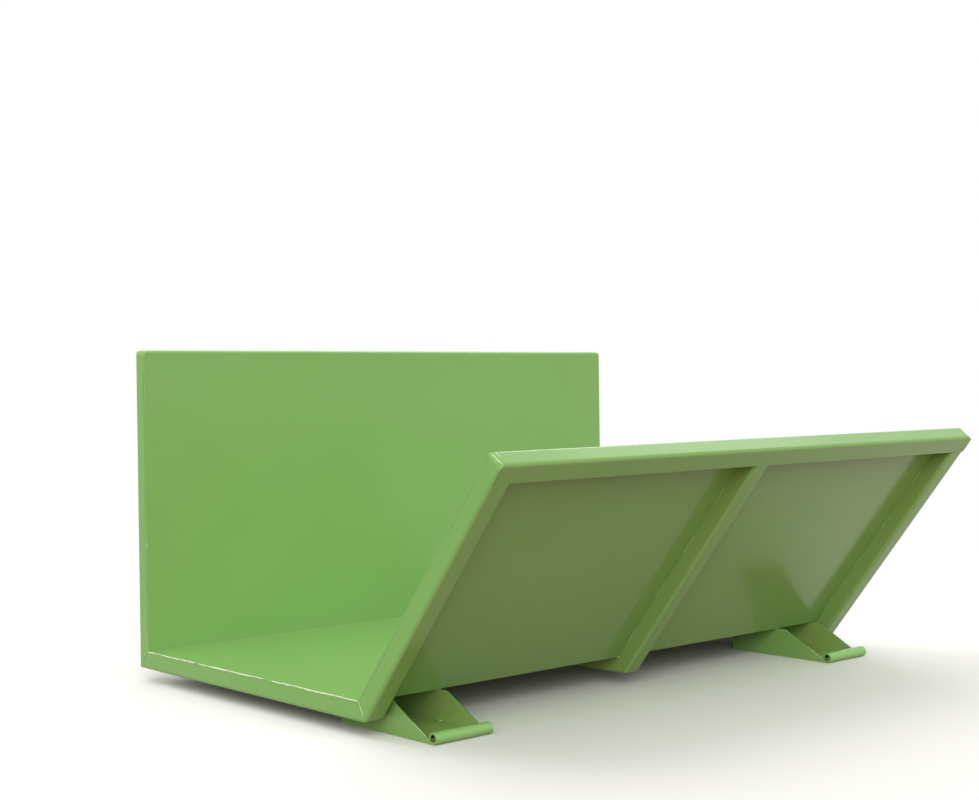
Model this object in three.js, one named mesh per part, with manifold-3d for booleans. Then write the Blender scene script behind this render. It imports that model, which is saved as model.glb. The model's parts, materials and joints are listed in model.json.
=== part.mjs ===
// Long goods tipper: a steel trough, open at both ends, that a fork truck carries and tips.
// Millimetres. X runs along the trough, Y points to its back wall, Z up from the ground.
// Until the last lines, Y is counted from the inner face of the back wall.

import * as THREE from 'three';
import { mergeVertices } from 'three/addons/utils/BufferGeometryUtils.js';
import Module from 'manifold-3d';

const wasm = await Module();
wasm.setup();

// Trough
const troughLength = 1600;
const sheet = 4;
const sheetBend = 8; // outer radius of a fold
const backHeight = 750; // from the floor's underside
const floorDepth = 860; // inner face of the back wall to the foot of the front wall
const frontHeight = 678; // up the slope of the front wall
const frontLean = 38.4; // degrees from upright
const lipHeight = 47;
const topCornerRadius = 14; // of both walls, at the ends of the trough
const groundClearance = 32; // ground to the underside of the ribs

// Ribs, pressed as open channels
const ribDepth = 40;
const ribSheet = 4;
const ribBend = 8;
const endRibWidth = 50;
const middleRibWidth = 45;
const ribToeRadius = 25;
const ribHeelRadius = 10;

// Feet: trays with a rolled nose
const footInset = 66; // end of the trough to the foot's outer plate
const footWidth = 153;
const footRear = 709; // back wall to the foot's rear
const footReach = 1033; // back wall to the tip of the nose
const footPlate = 5;
const footHeelRadius = 8;
const noseHeight = 26;
const noseCurl = 285; // degrees that the rolled edge turns
const slopeLength = 123; // run of the sloped upper edge
const slopeTipSetback = 21; // nose tip to the end of the side plates

// Tipping hinge
const hingeSetback = 430; // back wall to the hinge axis
const hingeDrop = 28; // floor's underside to the hinge axis
const hingePinRadius = 12;
const hingePinHeadRadius = 17;
const hingePinHead = 5;
const hingePinTail = 10; // pin beyond the outer bearing plate
const bearingPlate = 10;
const bearingRadius = 26;
const bearingFoot = 4; // lower edge of a bearing plate above the ground
const lugPlate = 15;
const lugRadius = 32;
const lugFront = 70; // weld of the lug ahead of the axis
const bushRadius = 16;
const bushLength = 17;
const tipAngle = 75; // degrees, full tip
const toeDepth = 25; // length of the stop face on the lug
const cotterRadius = 2.5;
const cotterEye = 6;

// Base frame with its fork pockets
const forkSpacing = 1020;
const pocketWidth = 150;
const pocketHeight = 60;
const pocketWall = 5;
const pocketCorner = 10;
const pocketRear = 188; // back wall to the mouth of the pocket
const pocketFrontGap = 35; // hinge axis to the closed end of the pocket
const pocketEndPlate = 8;
const frontBeamDepth = 60;
const frontBeamHeight = 30;
const frontBeamSetback = 5; // behind the closed end of the pocket
const rearBeamFront = 120; // back wall to the rear beam
const rearBeamSize = 60;
const beamWall = 4;
const beamCorner = 8;
const bufferLength = 60;
const bufferCorner = 6;
const bufferFront = 70; // ahead of the back wall

// Latch: a hook that drops over a catch pin on the trough
const catchBehind = 70; // back wall to the catch pin
const catchHeight = 104;
const catchPinRadius = 10;
const catchPinOverhang = 5;
const catchLugPlate = 12;
const catchLugRadius = 20;
const catchLugRoot = 8; // front edge of the catch lug behind the back wall
const catchLugRise = 46; // above the catch pin
const latchPivotBehind = 96;
const latchPivotHeight = 34;
const latchPinRadius = 8;
const latchPinHeadRadius = 13;
const latchPinHead = 5;
const latchBracketPlate = 8;
const latchBracketRadius = 16;
const latchBracketFoot = 4;
const hookPlate = 16;
const hookBossRadius = 16;
const hookArmWidth = 22;
const beakHeight = 18;
const beakClearance = 1;
const beakOverlap = 6; // degrees that the beak passes the catch pin
const latchSwing = 24; // degrees from open to closed

// Release lever on the hook
const leverPlate = 8;
const leverWidth = 20;
const leverLength = 180;
const leverRootUp = 50; // above the pivot
const leverRootBack = 2;
const leverLean = 8.4; // degrees
const gripRadius = 15;
const gripLength = 92;
const gripOverhang = 8;
const leverBoltRadius = 4;
const leverBoltHead = 6.5;
const leverBoltHeadHeight = 5;
const leverBoltFirst = 10; // root of the lever to the first bolt
const leverBoltPitch = 28;

// Lock pin through the base bracket into the catch lug
const lockBehind = 62;
const lockHeight = 66;
const lockPinRadius = 6;
const lockKnobRadius = 13;
const lockKnobLength = 20;
const lockTravel = 12; // into the catch lug
const lockStandoff = 10; // sleeve to the knob when the pin is home
const lockLugRadius = 14;
const lockBracketPlate = 8;
const lockBracketRadius = 16;
const lockSleeveRadius = 10;
const lockSleeveLength = 28;

// Fork clamps: a screw with a T-bar over each pocket
const clampBehind = 150;
const clampScrewRadius = 10;
const clampTipRadius = 7;
const clampTipLength = 5;
const clampScrewLength = 75;
const clampHeadRadius = 15;
const clampHeadLength = 20;
const clampBarRadius = 6;
const clampBarLength = 120;
const clampNutRadius = 17;
const clampNutHeight = 18;
const clampPadRadius = 22;
const clampPadHeight = 8;

// Clearances
const seamGap = 0.3; // between welded or resting pieces
const mitreGap = 0.25; // each side of a mitre
const runningGap = 0.1; // round a pin that turns or slides
const sideGap = 1; // beside a plate that turns
const overrun = 5; // of a cutting tool past what it cuts

// Facets
const arcSteps = 5;
const roundSteps = 32;
const hexSides = 6;

// Worked out from the sizes above
const degree = Math.PI / 180;
const lean = frontLean * degree;
const floorUnder = groundClearance + ribDepth;
const troughTop = floorUnder + backHeight;
const insideBend = sheetBend - sheet;
const hingeHeight = floorUnder - hingeDrop;
const forkCentre = forkSpacing / 2;
const pocketFront = -hingeSetback + pocketFrontGap;
const bearingGap = bushLength + sideGap + sideGap;
const bearingOffset = (bearingGap + bearingPlate) / 2;
const tubeFront = pocketFront + pocketEndPlate + seamGap;
const beamHalf = forkCentre - pocketWidth / 2 - seamGap;
const rearBeamFace = rearBeamFront - seamGap;
const catchLugOffset = middleRibWidth / 2 + seamGap + catchLugPlate / 2;
const catchArm = Math.hypot(latchPivotBehind - catchBehind, catchHeight - latchPivotHeight);
const catchAngle = Math.atan2(catchHeight - latchPivotHeight, catchBehind - latchPivotBehind);
const latchBracketOffset = hookPlate / 2 + sideGap + latchBracketPlate / 2;
const leverOffset = hookPlate / 2 + seamGap + leverPlate / 2;
const lugFace = catchLugOffset + catchLugPlate / 2;
const lockBracketFace = lugFace + sideGap + sideGap;
const lockPinLength = lockBracketPlate + lockSleeveLength + lockTravel + lockStandoff;

// Paint and metals
const paint = { color: 0x84ad62, roughness: 0.38, metalness: 0 };
const basePaint = { color: 0x3c4043, roughness: 0.5, metalness: 0 };
const zinc = { color: 0xa9adad, roughness: 0.4, metalness: 1 };
const steel = { color: 0x77797a, roughness: 0.35, metalness: 1 };
const bronze = { color: 0xa47c48, roughness: 0.4, metalness: 1 };
const rubber = { color: 0x242526, roughness: 0.85, metalness: 0 };

// Points of an arc, from one angle to another
function arc(centreA, centreB, radius, from, to, steps = arcSteps) {
  return Array.from({ length: steps + 1 }, (_, i) => {
    const angle = from + ((to - from) * i) / steps;
    return new THREE.Vector2(centreA + radius * Math.cos(angle), centreB + radius * Math.sin(angle));
  });
}

function circle(centreA, centreB, radius) {
  return arc(centreA, centreB, radius, 0, 2 * Math.PI, roundSteps).slice(1);
}

// Turns corners [a, b, radius] into the points of an outline with rounded corners
function rounded(corners) {
  return corners.flatMap(([a, b, radius = 0], i) => {
    const corner = new THREE.Vector2(a, b);
    if (radius <= 0) return [corner];
    const [beforeA, beforeB] = corners.at(i - 1);
    const [afterA, afterB] = corners[(i + 1) % corners.length];
    const toBefore = new THREE.Vector2(beforeA, beforeB).sub(corner).normalize();
    const toAfter = new THREE.Vector2(afterA, afterB).sub(corner).normalize();
    const half = Math.acos(toBefore.dot(toAfter)) / 2;
    const middle = toBefore.clone().add(toAfter).normalize();
    const centre = corner.clone().addScaledVector(middle, radius / Math.sin(half));
    const turn = Math.sign(toAfter.cross(toBefore)) * (Math.PI / 2 - half);
    const facing = Math.atan2(-middle.y, -middle.x);
    return arc(centre.x, centre.y, radius, facing - turn, facing + turn);
  });
}

// The outline that a band round these points would take
function wrapped(points) {
  const sorted = [...points].sort((p, q) => p.x - q.x || p.y - q.y);
  const chain = (list) => {
    const kept = [];
    for (const point of list) {
      while (kept.length > 1) {
        const last = kept.at(-1);
        const edge = last.clone().sub(kept.at(-2));
        if (edge.cross(point.clone().sub(last)) > 0) break;
        kept.pop();
      }
      kept.push(point);
    }
    return kept.slice(0, -1);
  };
  return [...chain(sorted), ...chain(sorted.reverse())];
}

function prism(outline, depth, holes = []) {
  const shape = new THREE.Shape(outline);
  shape.holes = holes.map((hole) => new THREE.Path(hole));
  return new THREE.ExtrudeGeometry(shape, { depth, bevelEnabled: false });
}

// Outline in Y and Z, as wide as given along X, centred on X = 0
function acrossX(outline, width, holes) {
  const turn = new THREE.Matrix4().set(0, 0, 1, -width / 2, 1, 0, 0, 0, 0, 1, 0, 0, 0, 0, 0, 1);
  return prism(outline, width, holes).applyMatrix4(turn);
}

// Outline in X and Z, run along Y from 0
function alongY(outline, length, holes) {
  return prism(outline, length, holes).rotateX(Math.PI / 2).translate(0, length, 0);
}

// Profile of [radius, height] turned round Z
function turnedZ(profile) {
  const points = profile.map(([radius, height]) => new THREE.Vector2(radius, height));
  return new THREE.LatheGeometry(points, roundSteps).rotateX(Math.PI / 2);
}

function turnedX(profile) {
  return turnedZ(profile).rotateY(Math.PI / 2);
}

function rod(radius, length) {
  return turnedZ([[0, 0], [radius, 0], [radius, length], [0, length]]);
}

function ring(outer, inner, length) {
  return turnedZ([[inner, 0], [outer, 0], [outer, length], [inner, length], [inner, 0]]);
}

function solidOf(geometry) {
  const bare = geometry.clone();
  bare.deleteAttribute('normal');
  bare.deleteAttribute('uv');
  const merged = mergeVertices(bare);
  const vertProperties = new Float32Array(merged.attributes.position.array);
  const triVerts = new Uint32Array(merged.index.array);
  return new wasm.Manifold(new wasm.Mesh({ numProp: 3, vertProperties, triVerts }));
}

function geometryOf(solid) {
  const { vertProperties, triVerts } = solid.getMesh();
  const indexed = new THREE.BufferGeometry();
  indexed.setAttribute('position', new THREE.BufferAttribute(vertProperties, 3));
  indexed.setIndex(new THREE.BufferAttribute(triVerts, 1));
  const flat = indexed.toNonIndexed();
  flat.computeVertexNormals();
  return flat;
}

function join(first, ...others) {
  return geometryOf(others.reduce((sum, next) => sum.add(solidOf(next)), solidOf(first)));
}

function cut(body, ...tools) {
  return geometryOf(tools.reduce((rest, tool) => rest.subtract(solidOf(tool)), solidOf(body)));
}

function common(first, second) {
  return geometryOf(solidOf(first).intersect(solidOf(second)));
}

function addPiece(group, name, geometry, finish, place = [0, 0, 0], turn = [0, 0, 0]) {
  const mesh = new THREE.Mesh(geometry, new THREE.MeshStandardMaterial(finish));
  mesh.name = name;
  mesh.position.set(...place);
  mesh.rotation.set(...turn);
  group.add(mesh);
}

function addGroup(parent, place = [0, 0, 0], turn = [0, 0, 0]) {
  const group = new THREE.Group();
  group.position.set(...place);
  group.rotation.set(...turn);
  parent.add(group);
  return group;
}

// What lies inside the face of a wall: as long as the trough, with rounded top corners
function faceBlank(bottom, top, front, rear) {
  const half = troughLength / 2;
  const face = rounded([
    [-half, bottom],
    [half, bottom],
    [half, top, topCornerRadius],
    [-half, top, topCornerRadius],
  ]);
  return alongY(face, rear - front).translate(0, front, 0);
}

const foldEdge = sheet + ribDepth;

function backBlank() {
  return faceBlank(0, troughTop, -overrun, foldEdge + overrun);
}

function frontBlank() {
  return faceBlank(-ribDepth, frontHeight, -ribDepth - overrun, sheet + overrun);
}

// Back wall: upright sheet, its top folded to the rear over the ribs
function backWall() {
  const section = rounded([
    [0, floorUnder],
    [0, troughTop, sheetBend],
    [foldEdge, troughTop],
    [foldEdge, troughTop - sheet],
    [sheet, troughTop - sheet, insideBend],
    [sheet, floorUnder],
  ]);
  return common(acrossX(section, troughLength), backBlank());
}

// Inner face of the front wall at a height above the floor's underside
function frontInner(rise) {
  return -floorDepth + sheet / Math.cos(lean) - rise * Math.tan(lean);
}

function floorSheet() {
  const section = [
    new THREE.Vector2(-seamGap, floorUnder),
    new THREE.Vector2(-seamGap, floorUnder + sheet),
    new THREE.Vector2(frontInner(sheet) + seamGap, floorUnder + sheet),
    new THREE.Vector2(frontInner(0) + seamGap, floorUnder),
  ];
  return acrossX(section, troughLength);
}

// Front wall in its own leaning frame: Z up the slope, -Y outward.
// Its top is folded out to the face of the ribs and down again as a lip.
function frontWall() {
  const lipInner = -(ribDepth - sheet);
  const section = rounded([
    [0, 0],
    [0, frontHeight - sheet, insideBend],
    [lipInner, frontHeight - sheet, insideBend],
    [lipInner, frontHeight - lipHeight],
    [-ribDepth, frontHeight - lipHeight],
    [-ribDepth, frontHeight, sheetBend],
    [sheet, frontHeight, sheetBend],
    [sheet, -sheet * Math.tan(lean)],
  ]);
  return common(acrossX(section, troughLength), frontBlank());
}

// Plate that closes one end of the lip, its top corner rounded with the wall's
function lipEndPlate(end) {
  const outer = -(ribDepth - sheet - seamGap);
  const top = frontHeight - sheet - seamGap;
  const section = rounded([
    [-seamGap, frontHeight - lipHeight],
    [-seamGap, top, insideBend],
    [outer, top, insideBend],
    [outer, frontHeight - lipHeight],
  ]);
  return common(acrossX(section, sheet), frontBlank().translate(-end, 0, 0));
}

// One mitred end of a rib's leg: points from the outer face to the sheet.
// halfTurn is half the angle that the rib turns through at that corner.
function mitredEnd(halfTurn, radius) {
  const tangent = (radius - ribDepth) * Math.tan(halfTurn);
  const bend = arc(tangent, ribDepth - radius, radius, Math.PI / 2, Math.PI / 2 + halfTurn);
  return [...bend, new THREE.Vector2(0, 0)];
}

const squareEnd = [new THREE.Vector2(0, ribDepth), new THREE.Vector2(0, 0)];

// End that butts under a folded flange, clear of the inside of its bend
const flangeRound = insideBend - seamGap;
const flangeEnd = [
  new THREE.Vector2(0, ribDepth),
  ...arc(flangeRound, insideBend, flangeRound, Math.PI, 1.5 * Math.PI),
  new THREE.Vector2(flangeRound, 0),
];

// One leg of a rib: an open channel, cut at both ends to its mitre.
// In its own frame the leg runs up Z from its first end and faces -Y.
function ribLeg(width, length, firstEnd, lastEnd) {
  const half = width / 2;
  const web = half - ribSheet;
  const inner = -(ribDepth - ribSheet);
  const insideRadius = ribBend - ribSheet;
  const channel = rounded([
    [-half, -seamGap],
    [-half, -ribDepth, ribBend],
    [half, -ribDepth, ribBend],
    [half, -seamGap],
    [web, -seamGap],
    [web, inner, insideRadius],
    [-web, inner, insideRadius],
    [-web, -seamGap],
  ]);
  const stock = prism(channel, length + 4 * ribDepth).translate(0, 0, -2 * ribDepth);
  const butted = [squareEnd, flangeEnd];
  const firstGap = butted.includes(firstEnd) ? 0 : mitreGap;
  const lastGap = butted.includes(lastEnd) ? 0 : mitreGap;
  const first = firstEnd.map((p) => new THREE.Vector2(-p.y, p.x + firstGap));
  const last = lastEnd.map((p) => new THREE.Vector2(-p.y, length - p.x - lastGap));
  const side = acrossX([...first, ...last.reverse()], width + 2 * overrun);
  return common(stock, side);
}

// A rib runs down the back wall, under the floor and up the front wall
function addRib(trough, front, name, width, x) {
  const heel = mitredEnd(Math.PI / 4, ribHeelRadius);
  const toe = mitredEnd((Math.PI / 2 - lean) / 2, ribToeRadius);
  const backTop = troughTop - sheet - seamGap;
  const stock = ribLeg(width, backTop - floorUnder, flangeEnd, heel);
  const blank = backBlank().translate(-x, -sheet, -backTop).rotateX(-Math.PI);
  const back = common(stock, blank);
  addPiece(trough, `back_rib_${name}`, back, paint, [x, sheet, backTop], [Math.PI, 0, 0]);
  const under = ribLeg(width, sheet + floorDepth, heel, toe);
  addPiece(trough, `floor_rib_${name}`, under, paint, [x, sheet, floorUnder], [Math.PI / 2, 0, 0]);
  const rise = ribLeg(width, frontHeight - lipHeight - seamGap, toe, squareEnd);
  addPiece(front, `front_rib_${name}`, rise, paint, [x, 0, 0]);
}

// Foot: two side plates on a tray whose front edge is rolled into an open curl.
// The side plates end behind the curl, so its round end shows.
// The rolled nose is the skid that turns the trough back when it is set down.
function foot() {
  const top = floorUnder - seamGap;
  const roll = noseHeight / 2;
  const rollCentre = -(footReach - roll);
  const slopeTip = -(footReach - slopeTipSetback);
  const down = -Math.PI / 2;
  const nose = (radius) => arc(rollCentre, roll, radius, down, down - noseCurl * degree, 4 * arcSteps);
  const heel = rounded([
    [-footRear, top],
    [-footRear, 0, footHeelRadius],
    [rollCentre, 0],
  ]).slice(0, -1);
  const heelInside = rounded([
    [-footRear - footPlate, top],
    [-footRear - footPlate, footPlate, footHeelRadius - footPlate],
    [rollCentre, footPlate],
  ]).slice(0, -1);
  const tray = [
    ...heel,
    ...nose(roll),
    ...nose(roll - footPlate).reverse(),
    ...heelInside.reverse(),
  ];
  const plate = rounded([
    [-footRear, top],
    [-footRear, 0, footHeelRadius],
    [slopeTip, 0],
    [slopeTip, footPlate],
    [slopeTip + slopeLength, top],
  ]);
  const offset = (footWidth - footPlate) / 2;
  const sides = [-offset, offset].map((x) => acrossX(plate, footPlate).translate(x, 0, 0));
  return join(acrossX(tray, footWidth), ...sides);
}

// Lug under the floor, drawn round the hinge axis.
// Its toe meets the closed end of the pocket squarely at full tip.
function hingeLug() {
  const weld = hingeDrop - seamGap;
  const stop = new THREE.Vector2(pocketFrontGap - seamGap, 0);
  const toe = [stop, stop.clone().setY(-toeDepth)];
  toe.forEach((point) => point.rotateAround(new THREE.Vector2(), -tipAngle * degree));
  const corners = [new THREE.Vector2(-lugFront, weld), new THREE.Vector2(lugRadius, weld)];
  const underside = arc(0, 0, lugRadius, Math.PI, 2 * Math.PI, roundSteps / 2);
  const outline = wrapped([...underside, ...toe, ...corners]);
  return acrossX(outline, lugPlate, [circle(0, 0, bushRadius + seamGap)]);
}

// Plate that carries the hinge pin ahead of the pocket's closed end
function hingeBearing() {
  const rear = pocketFrontGap - seamGap;
  const corners = [
    new THREE.Vector2(rear, bearingFoot - hingeHeight),
    new THREE.Vector2(rear, pocketHeight - hingeHeight),
  ];
  const outline = wrapped([...circle(0, 0, bearingRadius), ...corners]);
  return acrossX(outline, bearingPlate, [circle(0, 0, hingePinRadius + seamGap)]);
}

// Hinge pin, drawn from its head: a cross hole near its tail takes the cotter
const hingePinShank = seamGap + 2 * bearingOffset + bearingPlate + hingePinTail;
const cotterPlace = hingePinShank - hingePinTail / 2;

function hingePin() {
  const pin = turnedX([
    [0, -hingePinHead],
    [hingePinHeadRadius, -hingePinHead],
    [hingePinHeadRadius, 0],
    [hingePinRadius, 0],
    [hingePinRadius, hingePinShank],
    [0, hingePinShank],
  ]);
  const drill = rod(cotterRadius + seamGap, 2 * (hingePinRadius + overrun));
  return cut(pin, drill.translate(cotterPlace, 0, -hingePinRadius - overrun));
}

// Cotter: a shank through the pin with an eye below it
function hingeCotter() {
  const reach = hingePinRadius + cotterEye;
  const shank = rod(cotterRadius, 2 * reach).translate(0, 0, -reach);
  const eye = new THREE.TorusGeometry(cotterEye, cotterRadius, arcSteps * 2, roundSteps / 2);
  return join(shank, eye.rotateY(Math.PI / 2).translate(0, 0, -reach - cotterEye));
}

function tubeSection(width, height, wall, corner) {
  const box = (inset) => rounded([
    [-width / 2 + inset, inset, corner - inset],
    [width / 2 - inset, inset, corner - inset],
    [width / 2 - inset, height - inset, corner - inset],
    [-width / 2 + inset, height - inset, corner - inset],
  ]);
  return { outer: box(0), inner: box(wall) };
}

function forkPocket() {
  const { outer, inner } = tubeSection(pocketWidth, pocketHeight, pocketWall, pocketCorner);
  const tube = alongY(outer, pocketRear - tubeFront, [inner]);
  const drill = rod(clampScrewRadius + seamGap, pocketWall + 2 * overrun);
  drill.translate(0, clampBehind - tubeFront, pocketHeight - pocketWall - overrun);
  return cut(tube, drill);
}

function crossBeam(depth, height) {
  const { outer, inner } = tubeSection(depth, height, beamWall, beamCorner);
  return acrossX(outer, 2 * beamHalf, [inner]);
}

function buffer() {
  const half = bufferLength / 2;
  const corners = [[-half, -half], [half, -half], [half, half], [-half, half]];
  const outline = rounded(corners.map(([a, b]) => [a, b, bufferCorner]));
  return prism(outline, floorUnder - pocketHeight - 2 * seamGap);
}

// Lug on the side of the middle rib: it holds the catch pin and takes the lock pin
function catchLug() {
  const root = [
    new THREE.Vector2(catchLugRoot, lockHeight - lockLugRadius),
    new THREE.Vector2(catchLugRoot, catchHeight + catchLugRise),
    new THREE.Vector2(catchLugRoot + ribDepth, catchHeight + catchLugRise),
  ];
  const round = circle(catchBehind, catchHeight, catchLugRadius);
  const lower = circle(lockBehind, lockHeight, lockLugRadius);
  const holes = [
    circle(catchBehind, catchHeight, catchPinRadius + seamGap),
    circle(lockBehind, lockHeight, lockPinRadius + seamGap),
  ];
  return acrossX(wrapped([...root, ...round, ...lower]), catchLugPlate, holes);
}

function plainPinX(radius, length) {
  return rod(radius, length).rotateY(Math.PI / 2).translate(-length / 2, 0, 0);
}

// Plate welded to the front of the rear beam, round a hole
function beamBracket(behind, height, radius, hole, plate) {
  const foot = [
    new THREE.Vector2(rearBeamFace, latchBracketFoot),
    new THREE.Vector2(rearBeamFace, rearBeamSize - latchBracketFoot),
  ];
  return acrossX(wrapped([...circle(behind, height, radius), ...foot]), plate, [hole]);
}

function latchPin() {
  const shank = 2 * (latchBracketOffset + latchBracketPlate / 2 + seamGap);
  return turnedX([
    [0, -latchPinHead],
    [latchPinHeadRadius, -latchPinHead],
    [latchPinHeadRadius, 0],
    [latchPinRadius, 0],
    [latchPinRadius, shank],
    [latchPinHeadRadius, shank],
    [latchPinHeadRadius, shank + latchPinHead],
    [0, shank + latchPinHead],
  ]).translate(-shank / 2, 0, 0);
}

// Hook in its closed position, drawn round its pivot.
// The beak's underside is an arc about the pivot, so it slides over the catch pin.
function latchHook() {
  const half = hookArmWidth / 2;
  const inner = catchArm + catchPinRadius + beakClearance;
  const outer = inner + beakHeight;
  const upright = Math.PI / 2;
  const tip = catchAngle + beakOverlap * degree;
  const shoulder = Math.asin(half / hookBossRadius);
  const outline = [
    ...arc(0, 0, hookBossRadius, upright + shoulder, upright - shoulder + 2 * Math.PI, roundSteps),
    ...arc(0, 0, outer, upright - Math.asin(half / outer), tip),
    ...arc(0, 0, inner, tip, upright + Math.asin(half / inner)),
  ];
  const hook = acrossX(outline, hookPlate, [circle(0, 0, latchPinRadius + runningGap)]);
  return cut(hook, ...leverBoltHoles(hookPlate));
}

// Places of the lever's bolts in the lever's own frame, up from its root
const boltRises = [leverBoltFirst, leverBoltFirst + leverBoltPitch];

function leverBoltHoles(plate) {
  const slope = leverLean * degree;
  return boltRises.map((rise) => plainPinX(leverBoltRadius + seamGap, plate + 2 * overrun).translate(
    0,
    leverRootBack - rise * Math.sin(slope),
    leverRootUp + rise * Math.cos(slope),
  ));
}

// Flat bar up from its root, with a round lower end
function releaseLever() {
  const half = leverWidth / 2;
  const outline = [
    ...arc(0, 0, half, Math.PI, 2 * Math.PI, 2 * arcSteps),
    ...arc(0, leverLength - half, half, 0, Math.PI, 2 * arcSteps),
  ];
  const holes = boltRises.map((rise) => circle(0, rise, leverBoltRadius + seamGap));
  return acrossX(outline, leverPlate, holes);
}

// Moulded grip, slotted over the bar's upper end
function leverGrip() {
  const neck = gripRadius - gripOverhang / 2;
  const body = turnedZ([
    [0, 0],
    [gripRadius, 0],
    [gripRadius, gripOverhang],
    [neck, 2 * gripOverhang],
    [neck, gripLength - 2 * gripOverhang],
    [gripRadius, gripLength - gripOverhang],
    [neck, gripLength],
    [0, gripLength],
  ]);
  const half = leverWidth / 2 + seamGap;
  const slot = [
    new THREE.Vector2(-half, -overrun),
    new THREE.Vector2(half, -overrun),
    new THREE.Vector2(half, gripLength - gripOverhang - half),
    ...arc(0, gripLength - gripOverhang - half, half, 0, Math.PI, 2 * arcSteps),
    new THREE.Vector2(-half, gripLength - gripOverhang - half),
  ];
  return cut(body, acrossX(slot, leverPlate + 2 * seamGap));
}

// Bolt through hook and lever with its nut run up, drawn from under its head
function leverBolt() {
  const grip = hookPlate + leverPlate + 3 * seamGap;
  return turnedX([
    [0, -leverBoltHeadHeight],
    [leverBoltHead, -leverBoltHeadHeight],
    [leverBoltHead, 0],
    [leverBoltRadius, 0],
    [leverBoltRadius, grip],
    [leverBoltHead, grip],
    [leverBoltHead, grip + leverBoltHeadHeight],
    [0, grip + leverBoltHeadHeight],
  ]);
}

// Base bracket for the lock pin, with a guide sleeve on its outer face
function lockBracket() {
  const hole = circle(lockBehind, lockHeight, lockPinRadius + runningGap);
  const plate = beamBracket(lockBehind, lockHeight, lockBracketRadius, hole, lockBracketPlate);
  const sleeve = ring(lockSleeveRadius, lockPinRadius + runningGap, lockSleeveLength + overrun);
  sleeve.rotateY(Math.PI / 2);
  sleeve.translate(lockBracketPlate / 2 - overrun, lockBehind, lockHeight);
  return join(plate, sleeve);
}

// Lock pin with a turned knob, drawn from its tip outward
function lockPin() {
  const neck = lockPinRadius + (lockKnobRadius - lockPinRadius) / 2;
  return turnedX([
    [0, 0],
    [lockPinRadius, 0],
    [lockPinRadius, lockPinLength],
    [neck, lockPinLength],
    [lockKnobRadius, lockPinLength + lockKnobLength / 2],
    [neck, lockPinLength + lockKnobLength],
    [0, lockPinLength + lockKnobLength],
  ]);
}

function clampNut() {
  const outline = arc(0, 0, clampNutRadius, 0, 2 * Math.PI, hexSides).slice(1);
  return prism(outline, clampNutHeight, [circle(0, 0, clampScrewRadius + runningGap)]);
}

// Clamp screw: a narrow tip that turns in the pad, the shank and a bored head
function clampScrew() {
  const shankEnd = clampTipLength + clampScrewLength;
  const screw = turnedZ([
    [0, 0],
    [clampTipRadius, 0],
    [clampTipRadius, clampTipLength],
    [clampScrewRadius, clampTipLength],
    [clampScrewRadius, shankEnd],
    [clampHeadRadius, shankEnd],
    [clampHeadRadius, shankEnd + clampHeadLength],
    [0, shankEnd + clampHeadLength],
  ]);
  const drill = plainPinX(clampBarRadius + seamGap, 2 * (clampHeadRadius + overrun));
  return cut(screw, drill.translate(0, 0, shankEnd + clampHeadLength / 2));
}

function clampPad() {
  const socket = clampTipRadius + runningGap;
  const floor = clampPadHeight - clampTipLength - seamGap;
  return turnedZ([
    [0, 0],
    [clampPadRadius, 0],
    [clampPadRadius, clampPadHeight],
    [socket, clampPadHeight],
    [socket, floor],
    [0, floor],
  ]);
}

function addTrough(tipper) {
  const trough = addGroup(tipper);
  const front = addGroup(trough, [0, -floorDepth, floorUnder], [lean, 0, 0]);
  addPiece(trough, 'back_wall', backWall(), paint);
  addPiece(trough, 'floor_sheet', floorSheet(), paint);
  addPiece(front, 'front_wall', frontWall(), paint);
  const endRib = (troughLength - endRibWidth) / 2;
  addRib(trough, front, 'left', endRibWidth, -endRib);
  addRib(trough, front, 'middle', middleRibWidth, 0);
  addRib(trough, front, 'right', endRibWidth, endRib);
  for (const [side, label] of [[-1, 'left'], [1, 'right']]) {
    const end = side * (troughLength - sheet) / 2;
    addPiece(front, `lip_end_plate_${label}`, lipEndPlate(end), paint, [end, 0, 0]);
    const footAt = side * (troughLength / 2 - footInset - footWidth / 2);
    addPiece(trough, `foot_${label}`, foot(), paint, [footAt, 0, 0]);
    const axis = [side * forkCentre, -hingeSetback, hingeHeight];
    addPiece(trough, `hinge_lug_${label}`, hingeLug(), paint, axis);
    const bush = ring(bushRadius, hingePinRadius + runningGap, bushLength);
    bush.rotateY(Math.PI / 2).translate(-bushLength / 2, 0, 0);
    addPiece(trough, `hinge_bush_${label}`, bush, bronze, axis);
    addPiece(trough, `catch_lug_${label}`, catchLug(), paint, [side * catchLugOffset, 0, 0]);
  }
  const catchPin = plainPinX(catchPinRadius, 2 * (lugFace + catchPinOverhang));
  addPiece(trough, 'catch_pin', catchPin, steel, [0, catchBehind, catchHeight]);
}

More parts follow.
